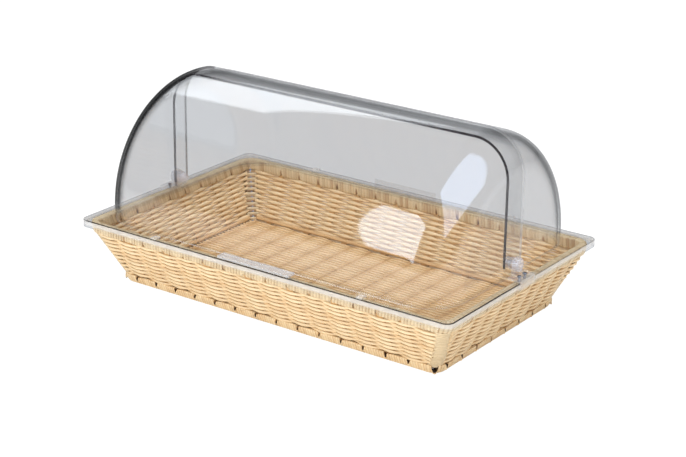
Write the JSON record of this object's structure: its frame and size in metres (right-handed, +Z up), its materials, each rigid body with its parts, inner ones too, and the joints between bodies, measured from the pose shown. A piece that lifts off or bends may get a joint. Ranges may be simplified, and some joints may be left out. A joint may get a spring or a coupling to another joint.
{
  "type": "countertop bread display bin",
  "caption": "Flared woven basket with a clear frame and a two-part clear roll-top cover, for keeping bread covered and on show on a counter.",
  "frame": {"origin": "middle of the underside, on the counter", "axes": "+X along the length, +Z up, -Y towards the front, where the customer stands and the outer cover opens"},
  "size_m": [0.53, 0.325, 0.246],
  "materials": {
    "weave": "woven poly cord, slight sheen",
    "wrap": "closely wrapped poly ribbon, slight sheen",
    "stakes": "flat poly strap",
    "wire": "plain steel wire",
    "clear": "clear moulded polycarbonate, glossy",
    "pivot": "milky moulded plastic",
    "fixings": "zinc-plated steel"
  },
  "bodies": {
    "basket": {"cross_stakes": "stakes", "end_stakes": "stakes", "top_rod": "wire", "base_rod": "wire", "corner_rods": "wire", "front_weave": "weave", "rear_weave": "weave", "left_weave": "weave", "right_weave": "weave", "corner_posts": "wrap", "floor_weave": "weave", "base_border": "wrap", "rim_wrap": "wrap"},
    "frame": {"cover_frame": "clear", "right_pivot_bracket": "clear", "left_pivot_bracket": "clear", "bracket_screws": "fixings", "right_pivot_pin": "pivot", "left_pivot_pin": "pivot", "pivot_washers": "pivot", "pin_retainers": "pivot"},
    "front_shell": {"front_cover": "clear", "front_grip": "clear"},
    "rear_shell": {"rear_cover": "clear", "rear_grip": "clear"}
  },
  "joints": [
    {"name": "cover_lift", "type": "slide", "parent": "basket", "child": "frame", "axis": [0, 0, 1], "range_m": [0, 0.2]},
    {"name": "front_cover_hinge", "type": "hinge", "parent": "frame", "child": "front_shell", "pos_m": [0, 0, 0.096], "axis": [-1, 0, 0], "range_deg": [0, 90]},
    {"name": "rear_cover_hinge", "type": "hinge", "parent": "frame", "child": "rear_shell", "pos_m": [0, 0, 0.096], "axis": [1, 0, 0], "range_deg": [0, 90]}
  ]
}
